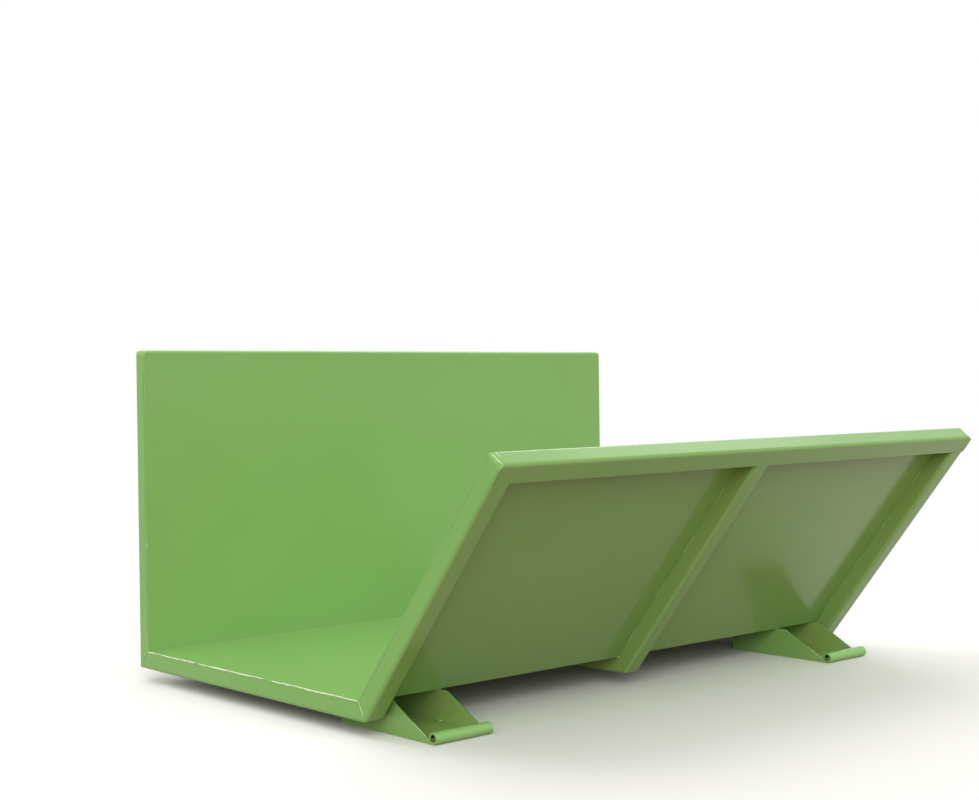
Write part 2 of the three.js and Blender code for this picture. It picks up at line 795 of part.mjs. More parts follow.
function addBase(tipper) {
  const base = addGroup(tipper);
  for (const [side, label] of [[-1, 'left'], [1, 'right']]) {
    const x = side * forkCentre;
    addPiece(base, `fork_pocket_${label}`, forkPocket(), basePaint, [x, tubeFront, 0]);
    const { outer } = tubeSection(pocketWidth, pocketHeight, pocketWall, pocketCorner);
    const endPlate = alongY(outer, pocketEndPlate);
    addPiece(base, `pocket_end_plate_${label}`, endPlate, basePaint, [x, pocketFront, 0]);
    const axis = [x, -hingeSetback, hingeHeight];
    for (const [offset, where] of [[bearingOffset, 'outer'], [-bearingOffset, 'inner']]) {
      const place = [x + side * offset, -hingeSetback, hingeHeight];
      addPiece(base, `bearing_plate_${where}_${label}`, hingeBearing(), basePaint, place);
    }
    const pin = addGroup(base, axis, [0, 0, side > 0 ? 0 : Math.PI]);
    const head = -bearingOffset - bearingPlate / 2 - seamGap;
    addPiece(pin, `hinge_pin_${label}`, hingePin(), zinc, [head, 0, 0]);
    addPiece(pin, `hinge_cotter_${label}`, hingeCotter(), zinc, [head + cotterPlace, 0, 0]);
    const bufferY = -bufferFront + bufferLength / 2;
    addPiece(base, `buffer_${label}`, buffer(), rubber, [x, bufferY, pocketHeight + seamGap]);
    const nutPlace = [x, clampBehind, pocketHeight + seamGap];
    addPiece(base, `clamp_nut_${label}`, clampNut(), zinc, nutPlace);
    const bracketX = side * latchBracketOffset;
    const hole = circle(latchPivotBehind, latchPivotHeight, latchPinRadius + seamGap);
    const bracket = beamBracket(
      latchPivotBehind, latchPivotHeight, latchBracketRadius, hole, latchBracketPlate);
    addPiece(base, `latch_bracket_${label}`, bracket, basePaint, [bracketX, 0, 0]);
  }
  const frontBeamY = pocketFront + frontBeamSetback + frontBeamDepth / 2;
  const frontBeam = crossBeam(frontBeamDepth, frontBeamHeight);
  addPiece(base, 'front_crossbeam', frontBeam, basePaint, [0, frontBeamY, 0]);
  const rearBeamY = rearBeamFront + rearBeamSize / 2;
  const rearBeam = crossBeam(rearBeamSize, rearBeamSize);
  addPiece(base, 'rear_crossbeam', rearBeam, basePaint, [0, rearBeamY, 0]);
  const pivot = [0, latchPivotBehind, latchPivotHeight];
  addPiece(base, 'latch_pivot_pin', latchPin(), zinc, pivot);
  const lockX = lockBracketFace + lockBracketPlate / 2;
  addPiece(base, 'lock_bracket', lockBracket(), basePaint, [lockX, 0, 0]);
}

// The latch stands open, swung back from its closed position
function addLatch(tipper) {
  const latch = addGroup(
    tipper, [0, latchPivotBehind, latchPivotHeight], [-latchSwing * degree, 0, 0]);
  addPiece(latch, 'latch_hook', latchHook(), basePaint);
  const lever = addGroup(latch, [0, leverRootBack, leverRootUp], [leverLean * degree, 0, 0]);
  addPiece(lever, 'release_lever', releaseLever(), zinc, [leverOffset, 0, 0]);
  const gripRise = leverLength + gripOverhang - gripLength;
  addPiece(lever, 'lever_grip', leverGrip(), rubber, [leverOffset, 0, gripRise]);
  const boltHead = -hookPlate / 2 - seamGap;
  for (const [i, label] of ['lower', 'upper'].entries()) {
    addPiece(lever, `lever_bolt_${label}`, leverBolt(), zinc, [boltHead, 0, boltRises[i]]);
  }
}

// The lock pin stands withdrawn, its tip just inside the bracket
function addLock(tipper) {
  const lock = addGroup(tipper);
  const tip = lockBracketFace + seamGap;
  addPiece(lock, 'lock_pin', lockPin(), zinc, [tip, lockBehind, lockHeight]);
}

// Each clamp stands raised, its pad against the roof of the pocket
function addClamp(tipper, side, label) {
  const padTop = pocketHeight - pocketWall - seamGap;
  const clamp = addGroup(tipper, [side * forkCentre, clampBehind, padTop]);
  addPiece(clamp, `clamp_pad_${label}`, clampPad(), steel, [0, 0, -clampPadHeight]);
  addPiece(clamp, `clamp_screw_${label}`, clampScrew(), zinc, [0, 0, -clampTipLength]);
  const barRise = clampScrewLength + clampHeadLength / 2;
  const bar = plainPinX(clampBarRadius, clampBarLength);
  addPiece(clamp, `clamp_bar_${label}`, bar, zinc, [0, 0, barRise]);
}

const tipper = new THREE.Group();
addTrough(tipper);
addBase(tipper);
addLatch(tipper);
addLock(tipper);
addClamp(tipper, -1, 'left');
addClamp(tipper, 1, 'right');

// The origin is on the ground, midway between the lip and the pocket mouths
const lipBend = (ribDepth - sheetBend) * Math.cos(lean) + (frontHeight - sheetBend) * Math.sin(lean);
const frontReach = floorDepth + lipBend + sheetBend;
tipper.position.y = (frontReach - pocketRear) / 2;

export default tipper;
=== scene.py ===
import json
import math

import bmesh
import bpy
from mathutils import Matrix, Vector
from mathutils.bvhtree import BVHTree

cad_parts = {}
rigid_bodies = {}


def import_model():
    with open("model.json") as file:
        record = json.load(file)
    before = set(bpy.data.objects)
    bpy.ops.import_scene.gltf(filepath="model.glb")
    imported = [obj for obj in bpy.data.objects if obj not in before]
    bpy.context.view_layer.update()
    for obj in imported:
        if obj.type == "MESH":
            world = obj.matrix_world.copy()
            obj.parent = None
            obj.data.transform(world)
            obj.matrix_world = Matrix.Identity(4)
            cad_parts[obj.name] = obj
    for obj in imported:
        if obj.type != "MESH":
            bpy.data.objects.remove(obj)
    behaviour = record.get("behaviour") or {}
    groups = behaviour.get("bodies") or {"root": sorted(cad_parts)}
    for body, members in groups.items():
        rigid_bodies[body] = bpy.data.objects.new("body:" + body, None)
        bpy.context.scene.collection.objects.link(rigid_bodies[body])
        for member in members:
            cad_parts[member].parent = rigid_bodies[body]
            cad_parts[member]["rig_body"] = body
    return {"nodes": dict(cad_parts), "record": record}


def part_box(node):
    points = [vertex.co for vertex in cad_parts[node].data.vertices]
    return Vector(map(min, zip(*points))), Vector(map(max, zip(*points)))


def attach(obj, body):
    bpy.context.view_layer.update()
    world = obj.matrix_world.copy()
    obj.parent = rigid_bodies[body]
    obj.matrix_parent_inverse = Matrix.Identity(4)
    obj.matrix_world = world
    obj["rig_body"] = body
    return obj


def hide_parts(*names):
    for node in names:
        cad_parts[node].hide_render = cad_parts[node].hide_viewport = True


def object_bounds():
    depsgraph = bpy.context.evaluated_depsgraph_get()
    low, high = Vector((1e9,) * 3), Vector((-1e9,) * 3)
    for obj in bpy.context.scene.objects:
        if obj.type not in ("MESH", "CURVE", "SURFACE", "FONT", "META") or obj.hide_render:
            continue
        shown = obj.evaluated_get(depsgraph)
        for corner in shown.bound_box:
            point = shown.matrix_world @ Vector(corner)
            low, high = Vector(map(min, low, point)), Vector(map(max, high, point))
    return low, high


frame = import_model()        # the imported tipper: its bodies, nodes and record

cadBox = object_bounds()
print("frame loaded,", len(frame["nodes"]), "nodes")

# Camera at the photograph's viewing angle. The angles are turns from looking level along +Y.
cameraLook = {
    "place": (-2.785425, -2.948592, 0.736068),
    "turnRight": 41.682,
    "tiltDown": 0.688,
    "roll": -0.697,
    "lensMm": 58.751,
    "sensorMm": 36,
}


def setCamera(look):
    lens = bpy.data.cameras.new("photoCamera")
    lens.lens = look["lensMm"]
    lens.sensor_width = look["sensorMm"]
    lens.sensor_fit = "HORIZONTAL"
    camera = bpy.data.objects.new("photoCamera", lens)
    bpy.context.scene.collection.objects.link(camera)
    turn = Matrix.Rotation(math.radians(-look["turnRight"]), 4, "Z")
    tilt = Matrix.Rotation(math.radians(90 - look["tiltDown"]), 4, "X")
    roll = Matrix.Rotation(math.radians(look["roll"]), 4, "Z")
    camera.matrix_world = Matrix.Translation(look["place"]) @ turn @ tilt @ roll
    bpy.context.scene.camera = camera


setCamera(cameraLook)


# Colours are written as sRGB and turned to the linear values that Blender works in
def linearColour(hexCode):
    channels = [int(hexCode[i:i + 2], 16) / 255 for i in (1, 3, 5)]
    bent = [c / 12.92 if c <= 0.04045 else ((c + 0.055) / 1.055) ** 2.4 for c in channels]
    return (*bent, 1.0)


# Adds a node. An input is given a value, or another node's output to be linked to.
def addNode(tree, kind, inputs=None, **settings):
    node = tree.nodes.new(kind)
    for key, value in settings.items():
        setattr(node, key, value)
    for key, value in (inputs or {}).items():
        if isinstance(value, bpy.types.NodeSocket):
            tree.links.new(value, node.inputs[key])
        else:
            node.inputs[key].default_value = value
    return node


# Noise scale that gives features of this many millimetres on Object coordinates in metres
def featureScale(millimetres):
    return 1000 / millimetres


def startMaterial(name):
    material = bpy.data.materials.new(name)
    material.use_nodes = True
    tree = material.node_tree
    tree.nodes.clear()
    place = addNode(tree, "ShaderNodeTexCoord").outputs["Object"]
    return material, tree, place


def endMaterial(tree, shader):
    addNode(tree, "ShaderNodeOutputMaterial", {"Surface": shader.outputs[0]})


# In every look, a name that ends in Mm is in millimetres, and other lengths are in metres
greenCoat = {
    "colour": "#7ca95c",
    "thinColour": "#83af64",
    # near white on the green coat: the streaks that it colours are painted highlights
    "chipColour": "#eef6dd",
    "cloudMm": 240,  # drift of the film's thickness
    "peelMm": 7,  # orange peel is 1 to 3 mm in truth, drawn coarser so that it shows
    "peelHeight": 0.000012,
    "waveMm": 330,  # the sheet's own slight waves
    "waveHeight": 0.0006,
    "gloss": 0.13,
    "dullest": 0.27,
    "scuffMm": 9,
    "streakMm": 46,  # length of the streaks on cut edges, on the green coat painted highlights
    "ior": 1.33,
}

# Painted light: the outer ends, which face the left, are drawn less red for how light falls on
# them. The rolled nose of a foot is drawn paler, a painted highlight, and glossy.
endFaceLitCoat = {**greenCoat, "colour": "#75ab57", "thinColour": "#7cb15f"}
noseHighlightCoat = {
    **greenCoat,
    "colour": "#87bc68",
    "thinColour": "#90c472",
    "waveMm": 30,  # the uneven bend of the rolled edge
    "waveHeight": 0.0009,
    "gloss": 0.08,
    "dullest": 0.16,
    "ior": 1.5,
}

# Painted shade: inside the feet the coat is drawn browner and duller for the brownish shade
# there, and beside the ribs darker and less green for the shade of the recess
footShadeCoat = {
    **greenCoat,
    "colour": "#88a458",
    "thinColour": "#8ea95f",
    "gloss": 0.3,
    "dullest": 0.5,
}
ribSideShadeCoat = {**footShadeCoat, "colour": "#809f56", "thinColour": "#86a45d"}

# Painted sheen: the upward faces of the front wall, on top of the lip, are drawn paler for the
# reflection of the light above
paleSheenCoat = {**greenCoat, "colour": "#81a966", "thinColour": "#88af6e"}

darkCoat = {
    "colour": "#3a3e41",
    "thinColour": "#44484b",
    "chipColour": "#8c8f90",
    "cloudMm": 120,
    "peelMm": 5,
    "peelHeight": 0.00002,
    "waveMm": 200,
    "waveHeight": 0.0003,
    "gloss": 0.36,
    "dullest": 0.55,
    "scuffMm": 7,
    "streakMm": 20,
    "ior": 1.5,
}

# Inside the rolled nose the powder never reached the steel, which is uncoated with dark mill
# scale, drawn this dark to be painted shade in the hole of the roll as well
millScaleAndShade = {**darkCoat, "colour": "#2c2c28", "thinColour": "#3b3934", "gloss": 0.5}

# How the noise of every powder coat turns into gloss and into streaks of chips and painted
# highlights
powderFilm = {
    "scuffRange": (0.35, 0.8),  # of the noise, from the glossiest spots to the dullest
    "ragged": 0.4,  # share of the fine noise in the outline of a bare streak
    "bareFrom": 0.60,
    "bareSoftness": 0.04,
}


# Sheet steel under a baked powder coat: a smooth, glossy plastic film with faint orange peel,
# a little paler where it runs thin. With streaks above 0, pale streaks of the chip colour are
# mixed in, more the higher the value: worn chips on the dark coat, painted highlights on the
# green.
def powderCoat(name, look, streaks=0.0):
    material, tree, place = startMaterial(name)
    cloud = addNode(tree, "ShaderNodeTexNoise", {
        "Vector": place, "Scale": featureScale(look["cloudMm"]), "Detail": 3.0})
    tone = addNode(tree, "ShaderNodeMix", {
        "Factor": cloud.outputs["Fac"], "A": linearColour(look["colour"]),
        "B": linearColour(look["thinColour"])}, data_type="RGBA")
    scuff = addNode(tree, "ShaderNodeTexNoise", {
        "Vector": place, "Scale": featureScale(look["scuffMm"]), "Detail": 6.0,
        "Roughness": 0.7, "Distortion": 0.6})
    colour = tone.outputs["Result"]
    if streaks > 0:
        flow = addNode(tree, "ShaderNodeTexNoise", {
            "Vector": place, "Scale": featureScale(look["streakMm"]), "Detail": 2.0})
        ragged = addNode(tree, "ShaderNodeMix", {
            "Factor": powderFilm["ragged"], "A": flow.outputs["Fac"],
            "B": scuff.outputs["Fac"]})
        bareFrom = powderFilm["bareFrom"] - streaks
        streakMask = addNode(tree, "ShaderNodeMapRange", {
            "Value": ragged.outputs["Result"], "From Min": bareFrom,
            "From Max": bareFrom + powderFilm["bareSoftness"]})
        # the streaks: worn chips on the dark coat, painted highlights of edges on the green coat
        chipsAndHighlights = addNode(tree, "ShaderNodeMix", {
            "Factor": streakMask.outputs["Result"], "A": colour,
            "B": linearColour(look["chipColour"])}, data_type="RGBA")
        colour = chipsAndHighlights.outputs["Result"]
    low, high = powderFilm["scuffRange"]
    shine = addNode(tree, "ShaderNodeMapRange", {
        "Value": scuff.outputs["Fac"], "From Min": low, "From Max": high,
        "To Min": look["gloss"], "To Max": look["dullest"]})
    wave = addNode(tree, "ShaderNodeTexNoise", {
        "Vector": place, "Scale": featureScale(look["waveMm"]), "Detail": 1.0})
    slow = addNode(tree, "ShaderNodeBump", {
        "Height": wave.outputs["Fac"], "Distance": look["waveHeight"], "Strength": 1.0})
    peel = addNode(tree, "ShaderNodeTexNoise", {
        "Vector": place, "Scale": featureScale(look["peelMm"]), "Detail": 2.0})
    fine = addNode(tree, "ShaderNodeBump", {
        "Height": peel.outputs["Fac"], "Distance": look["peelHeight"], "Strength": 1.0,
        "Normal": slow.outputs["Normal"]})
    shader = addNode(tree, "ShaderNodeBsdfPrincipled", {
        "Base Color": colour, "Roughness": shine.outputs["Result"], "IOR": look["ior"],
        "Normal": fine.outputs["Normal"]})
    endMaterial(tree, shader)
    return material


cloudRange = (0.3, 0.7)  # of a noise, from its thin parts to its thick ones

zincLook = {
    "bright": "#c3c7c6",
    "dull": "#9ea3a2",
    "spangleMm": 5,
    "spangleShare": 0.35,
    "cloudMm": 20,
    "roughest": 0.46,
    "smoothest": 0.28,
    "grainMm": 1.2,
    "grainHeight": 0.00001,
}


# Zinc-plated steel: cold grey metal, cloudy, with soft highlights
def zincPlate(name, look):
    material, tree, place = startMaterial(name)
    spangle = addNode(tree, "ShaderNodeTexVoronoi", {
        "Vector": place, "Scale": featureScale(look["spangleMm"]), "Randomness": 1.0})
    cloud = addNode(tree, "ShaderNodeTexNoise", {
        "Vector": place, "Scale": featureScale(look["cloudMm"]), "Detail": 4.0})
    both = addNode(tree, "ShaderNodeMix", {
        "Factor": look["spangleShare"], "A": cloud.outputs["Fac"],
        "B": spangle.outputs["Distance"]})
    tone = addNode(tree, "ShaderNodeMix", {
        "Factor": both.outputs["Result"], "A": linearColour(look["dull"]),
        "B": linearColour(look["bright"])}, data_type="RGBA")
    shine = addNode(tree, "ShaderNodeMapRange", {
        "Value": cloud.outputs["Fac"], "From Min": cloudRange[0], "From Max": cloudRange[1],
        "To Min": look["smoothest"], "To Max": look["roughest"]})
    grain = addNode(tree, "ShaderNodeTexNoise", {
        "Vector": place, "Scale": featureScale(look["grainMm"]), "Detail": 2.0})
    bump = addNode(tree, "ShaderNodeBump", {
        "Height": grain.outputs["Fac"], "Distance": look["grainHeight"], "Strength": 1.0})
    shader = addNode(tree, "ShaderNodeBsdfPrincipled", {
        "Base Color": tone.outputs["Result"], "Metallic": 1.0,
        "Roughness": shine.outputs["Result"], "Normal": bump.outputs["Normal"]})
    endMaterial(tree, shader)
    return material


steelLook = {
    "colour": "#8f9192",
    "oiled": "#6f6c66",
    "lineMm": 0.9,
    "cloudMm": 22,
    "smoothest": 0.22,
    "roughest": 0.38,
    "lineHeight": 0.000012,
}

bronzeLook = {
    "colour": "#b98b52",
    "oiled": "#8d6438",
    "lineMm": 0.8,
    "cloudMm": 12,
    "smoothest": 0.25,
    "roughest": 0.42,
    "lineHeight": 0.00001,
}


# Turned metal with an oil film: fine tool lines round the axis, which lies along X, and
# darker patches
def turnedMetal(name, look):
    material, tree, place = startMaterial(name)
    along = addNode(tree, "ShaderNodeSeparateXYZ", {"Vector": place}).outputs["X"]
    lines = addNode(tree, "ShaderNodeTexNoise", {
        "W": along, "Scale": featureScale(look["lineMm"]), "Detail": 2.0}, noise_dimensions="1D")
    film = addNode(tree, "ShaderNodeTexNoise", {
        "Vector": place, "Scale": featureScale(look["cloudMm"]), "Detail": 4.0})
    tone = addNode(tree, "ShaderNodeMix", {
        "Factor": film.outputs["Fac"], "A": linearColour(look["colour"]),
        "B": linearColour(look["oiled"])}, data_type="RGBA")
    shine = addNode(tree, "ShaderNodeMapRange", {
        "Value": film.outputs["Fac"], "From Min": cloudRange[0], "From Max": cloudRange[1],
        "To Min": look["smoothest"], "To Max": look["roughest"]})
    bump = addNode(tree, "ShaderNodeBump", {
        "Height": lines.outputs["Fac"], "Distance": look["lineHeight"], "Strength": 1.0})
    shader = addNode(tree, "ShaderNodeBsdfPrincipled", {
        "Base Color": tone.outputs["Result"], "Metallic": 1.0,
        "Roughness": shine.outputs["Result"], "Normal": bump.outputs["Normal"]})
    endMaterial(tree, shader)
    return material


rubberLook = {
    "colour": "#252627",
    "bloom": "#34363a",
    "cloudMm": 18,
    "grainMm": 1.6,  # spark-eroded mould texture, drawn a little coarse
    "grainHeight": 0.00006,
    "roughness": (0.62, 0.82),
    "ior": 1.52,
}


# Moulded rubber: matt black with a grey bloom and a fine pebbled skin
def mouldedRubber(name, look):
    material, tree, place = startMaterial(name)
    bloom = addNode(tree, "ShaderNodeTexNoise", {
        "Vector": place, "Scale": featureScale(look["cloudMm"]), "Detail": 5.0})
    tone = addNode(tree, "ShaderNodeMix", {
        "Factor": bloom.outputs["Fac"], "A": linearColour(look["colour"]),
        "B": linearColour(look["bloom"])}, data_type="RGBA")
    low, high = look["roughness"]
    shine = addNode(tree, "ShaderNodeMapRange", {
        "Value": bloom.outputs["Fac"], "From Min": cloudRange[0], "From Max": cloudRange[1],
        "To Min": low, "To Max": high})
    grain = addNode(tree, "ShaderNodeTexNoise", {
        "Vector": place, "Scale": featureScale(look["grainMm"]), "Detail": 2.0})
    bump = addNode(tree, "ShaderNodeBump", {
        "Height": grain.outputs["Fac"], "Distance": look["grainHeight"], "Strength": 1.0})
    shader = addNode(tree, "ShaderNodeBsdfPrincipled", {
        "Base Color": tone.outputs["Result"], "Roughness": shine.outputs["Result"],
        "IOR": look["ior"], "Normal": bump.outputs["Normal"]})
    endMaterial(tree, shader)
    return material


# For each material slot of the record: the finish of the faces and that of the rounded edges
greenPaint = powderCoat("greenPowderCoat", greenCoat)
# The pale streaks of these three edge finishes are painted highlights on rounded edges
greenEdge = powderCoat("greenPowderCoatThin", greenCoat, streaks=0.01)
floorEdge = powderCoat("greenPowderCoatStreaked", greenCoat, streaks=0.09)
edgeHighlightPaint = powderCoat("greenPowderCoatDrawnOff", greenCoat, streaks=0.2)
endFaceLitPaint = powderCoat("greenPowderCoatThick", endFaceLitCoat)
noseHighlightPaint = powderCoat("greenPowderCoatRolled", noseHighlightCoat)
footShadePaint = powderCoat("greenPowderCoatDusty", footShadeCoat)
ribSideShadePaint = powderCoat("greenPowderCoatRecessed", ribSideShadeCoat)
paleSheenPaint = powderCoat("greenPowderCoatFaded", paleSheenCoat)
uncoatedInsideAndShade = powderCoat("steelWithMillScale", millScaleAndShade)
darkPaint = powderCoat("darkPowderCoat", darkCoat)
darkEdge = powderCoat("darkPowderCoatThin", darkCoat, streaks=0.04)
zinc = zincPlate("zincPlatedSteel", zincLook)
steel = turnedMetal("oiledTurnedSteel", steelLook)
bronze = turnedMetal("oiledBronze", bronzeLook)
rubber = mouldedRubber("mouldedRubber", rubberLook)
finishes = {
    "trough_paint": (greenPaint, greenEdge),
    "base_paint": (darkPaint, darkEdge),
    "zinc_plate": (zinc, zinc),
    "bright_steel": (steel, steel),
    "bronze": (bronze, bronze),
    "rubber": (rubber, rubber),
}
slotOf = {part["node"]: part["material_slot"] for part in frame["record"]["subparts"]}
print("finishes ready")


def bodyOf(node):
    return frame["nodes"][node]["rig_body"]


def addPiece(name, mesh):
    piece = bpy.data.objects.new(name, mesh)
    bpy.context.scene.collection.objects.link(piece)
    return piece


# Turns a piece's modifiers into a plain mesh
def settle(piece):
    shape = bpy.data.meshes.new_from_object(
        piece.evaluated_get(bpy.context.evaluated_depsgraph_get()))
    piece.modifiers.clear()
    piece.data = shape
    shape.name = piece.name


# Lets a piece stand for the CAD node that it was made from
def swapIn(piece, node):
    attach(piece, bodyOf(node))
    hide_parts(node)


# Every piece has the edges that shearing, deburring and paint leave, in metres.
# An edge that lies against another piece of its body is left sharp.
edgeRounds = {
    "usual": 0.0008,
    "floor_sheet": 0.0018,
    "back_wall": 0.0012,
    "front_wall": 0.0003,
    "foot_left": 0.0012,
    "foot_right": 0.0012,
    "lever_grip": 0.0012,
    "hinge_cotter_left": 0.0,
    "hinge_cotter_right": 0.0,
    "steps": 2,
    "sharperThan": 32,  # degrees; a flatter turn is part of a bend
    "flatWithin": 0.5,  # degrees
    "cornerFrom": 60,  # degrees
    "mergeWithin": 0.000005,
    "against": 0.0006,
    "alongShares": (0.04, 0.5, 0.96),  # spots of an edge that are tested for a neighbour
    "shortest": 0.002,
}
paintSeams = {}  # seams to fill, by body and slot


def surfaceTree(node):
    mesh = frame["nodes"][node].data
    return BVHTree.FromPolygons(
        [vertex.co for vertex in mesh.vertices], [face.vertices for face in mesh.polygons])


surfaceTrees = {node: surfaceTree(node) for node in frame["nodes"]}


# Pieces of the same body whose boxes come within a gap of the node's
def neighboursOf(node, gap):
    low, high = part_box(node)
    near = []
    for other in frame["nodes"]:
        if other == node or bodyOf(other) != bodyOf(node):
            continue
        otherLow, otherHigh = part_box(other)
        if all(otherLow[i] <= high[i] + gap and low[i] <= otherHigh[i] + gap for i in range(3)):
            near.append(other)
    return near


# The neighbour that an edge lies against, and the middle of the gap along it
def findSeam(edge, neighbours, look):
    start, end = (vertex.co for vertex in edge.verts)
    tests = [start.lerp(end, share) for share in look["alongShares"]]
    for other in neighbours:
        found = [surfaceTrees[other].find_nearest(spot, look["against"])[0] for spot in tests]
        if all(place is not None for place in found):
            return other, [(spot + place) / 2 for spot, place in zip(tests, found)]
    return None, []


# Corners at which a rounded edge ends stay sharp
def keepCorners(mesh, rounds):
    shape = bmesh.new()
    shape.from_mesh(mesh)
    for edge in shape.edges:
        if edge.calc_face_angle(0) > math.radians(rounds["cornerFrom"]):
            edge.smooth = False
    shape.to_mesh(mesh)
    shape.free()


# Where the coat differs on the trough: its outer ends, the sides of the ribs, the top of the lip,
# and the noses and insides of the feet. These tints are painted light and shade.
coats = {
    "endDepth": 0.001,
    "noseLength": 0.030,
    "rollRadius": 0.013,
    "footWall": 0.0035,
    "downward": -0.5,  # these three are parts of a face's normal
    "upward": 0.7,
    "sideways": 0.9,
}


def coatOf(node, face):
    usual = finishes[slotOf[node]][0]
    if slotOf[node] != "trough_paint":
        return usual
    # outer ends: the painted light tint
    if abs(face.center.x) > cadBox[1].x - coats["endDepth"]:
        return endFaceLitPaint
    if node.startswith("foot"):
        low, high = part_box(node)
        if face.center.y < low.y + coats["noseLength"]:
            roll = coats["rollRadius"]
            inward = Vector((0, low.y + roll - face.center.y, roll - face.center.z))
            # outside, the nose is drawn paler, a painted highlight; inside, dark steel that is
            # also painted shade
            # a face that looks at the roll's axis is on its inside
            return uncoatedInsideAndShade if inward.dot(face.normal) > 0 else noseHighlightPaint
        inside = low.x + coats["footWall"] < face.center.x < high.x - coats["footWall"]
        # inside a foot: the painted shade tint
        if inside and face.normal.z > coats["downward"]:
            return footShadePaint
    # sides of the ribs: the painted shade tint of the recess
    if "_rib_" in node and abs(face.normal.x) > coats["sideways"]:
        return ribSideShadePaint
    # upward faces: paler, a painted sheen
    if node == "front_wall" and face.normal.z > coats["upward"]:
        return paleSheenPaint
    return usual


# Gives each face its finish. The second finish is that of the rounded edges.
def coatFaces(mesh, node):
    usual, edgeFinish = finishes[slotOf[node]]
    kit = [usual, floorEdge if node == "floor_sheet" else edgeFinish]
    if slotOf[node] == "trough_paint":
        kit += [endFaceLitPaint, noseHighlightPaint, footShadePaint, paleSheenPaint, uncoatedInsideAndShade, ribSideShadePaint]
    for finish in kit:
        mesh.materials.append(finish)
    mesh.polygons.foreach_set(
        "material_index", [kit.index(coatOf(node, face)) for face in mesh.polygons])


# The CAD node again, with rounded edges and its finishes
def roundEdges(node, rounds):
    shape = bmesh.new()
    shape.from_mesh(frame["nodes"][node].data)
    bmesh.ops.remove_doubles(shape, verts=shape.verts, dist=rounds["mergeWithin"])
    bmesh.ops.dissolve_limit(
        shape, angle_limit=math.radians(rounds["flatWithin"]),
        verts=shape.verts, edges=shape.edges)
    sharp = math.radians(rounds["sharperThan"])
    near = neighboursOf(node, rounds["against"])
    weight = shape.edges.layers.float.new("bevel_weight_edge")
    for edge in shape.edges:
        if edge.calc_face_angle(0) < sharp:
            continue
        other, seam = findSeam(edge, near, rounds)
        edge.smooth = other is None
        edge[weight] = float(edge.smooth)
        if other and slotOf[other] == slotOf[node] and edge.calc_length() > rounds["shortest"]:
            paintSeams.setdefault((bodyOf(node), slotOf[node]), []).append(seam)
    mesh = bpy.data.meshes.new(node + "_rounded")
    shape.to_mesh(mesh)
    shape.free()
    coatFaces(mesh, node)
    mesh.shade_smooth()
    piece = addPiece(node + "_rounded", mesh)
    width = rounds.get(node, rounds["usual"])
    if width > 0:
        bevel = piece.modifiers.new("edges", "BEVEL")
        bevel.width = width
        bevel.segments = rounds["steps"]
        bevel.limit_method = "WEIGHT"
        bevel.material = 1
        bevel.use_clamp_overlap = True
        settle(piece)
        keepCorners(piece.data, rounds)
        normals = piece.modifiers.new("flats", "WEIGHTED_NORMAL")
        normals.mode = "FACE_AREA"
        normals.keep_sharp = True
    settle(piece)
    swapIn(piece, node)


turning = {
    "mergeWithin": 0.000001,
    "chamferAngle": 30,  # of hexagons
}


# A ring of an outline that is turned round an axis: radius and height, both in metres
def even(radius, height):
    return lambda turn: (radius, height)


# Six flats. Their corners are chamfered down to the circle that touches the flats: face is 1
# for a top, -1 for an underside, and 0 leaves the corners whole.
def hexagon(across, height, face):
    half = across / 2
    slope = math.tan(math.radians(turning["chamferAngle"]))

    def ring(turn):
        reach = half / math.cos(turn % (math.pi / 3) - math.pi / 6)
        return reach, height - face * (reach - half) * slope
    return ring


def fluted(radius, height, flutes, depth):
    return lambda turn: (radius - depth * (0.5 + 0.5 * math.cos(flutes * turn)), height)


# Rings of a trapezoid thread between two heights
def threadRings(radius, bottom, top, thread):
    count = round((top - bottom) / thread["pitch"] * thread["ringsPerTurn"])
    fade = thread["pitch"] / 2

    def ringAt(height):
        nearest = min(height - bottom, top - height)
        depth = thread["depth"] * min(1, nearest / fade)

        def ring(turn):
            phase = (height / thread["pitch"] - turn / (2 * math.pi)) % 1
            past = abs(2 * phase - 1) - thread["crestShare"]
            return radius - depth * min(1, max(0, past / thread["flankShare"])), height
        return ring
    return [ringAt(bottom + (top - bottom) * i / count) for i in range(count + 1)]


# Piece turned round an axis. A closed outline joins its last ring to its first, as round a bore.
def turnedPiece(node, rings, start, along, steps, closed=False):
    stand = Vector(along).to_track_quat("Z", "Y").to_matrix()
    shape = bmesh.new()
    loops = []
    for ring in rings:
        loop = []
        for i in range(steps):
            turn = 2 * math.pi * i / steps
            radius, height = ring(turn)
            spot = Vector((radius * math.cos(turn), radius * math.sin(turn), height))
            loop.append(shape.verts.new(Vector(start) + stand @ spot))
        loops.append(loop)
    pairs = list(zip(loops, loops[1:]))
    if closed:
        pairs.append((loops[-1], loops[0]))
    for low, high in pairs:
        for i in range(steps):
            j = (i + 1) % steps
            shape.faces.new((low[i], low[j], high[j], high[i]))
    bmesh.ops.remove_doubles(shape, verts=shape.verts, dist=turning["mergeWithin"])
    bmesh.ops.recalc_face_normals(shape, faces=shape.faces)
    mesh = bpy.data.meshes.new(node + "_detailed")
    shape.to_mesh(mesh)
    shape.free()
    mesh.materials.append(finishes[slotOf[node]][0])
    mesh.shade_smooth()
    mesh.set_sharp_from_angle(angle=math.radians(edgeRounds["sharperThan"]))
    return addPiece(node + "_detailed", mesh)


# Of the turned pieces, round sizes are radii, and hexagons are measured across their flats
fastenerLook = {
    "steps": 72,
    "bevel": 0.0008,
    "boltAcross": 0.01126,
    "boltHead": 0.004,
    "washerRadius": 0.0064,
    "washer": 0.001,
    "shank": 0.004,
    "tail": 0.0006,
}


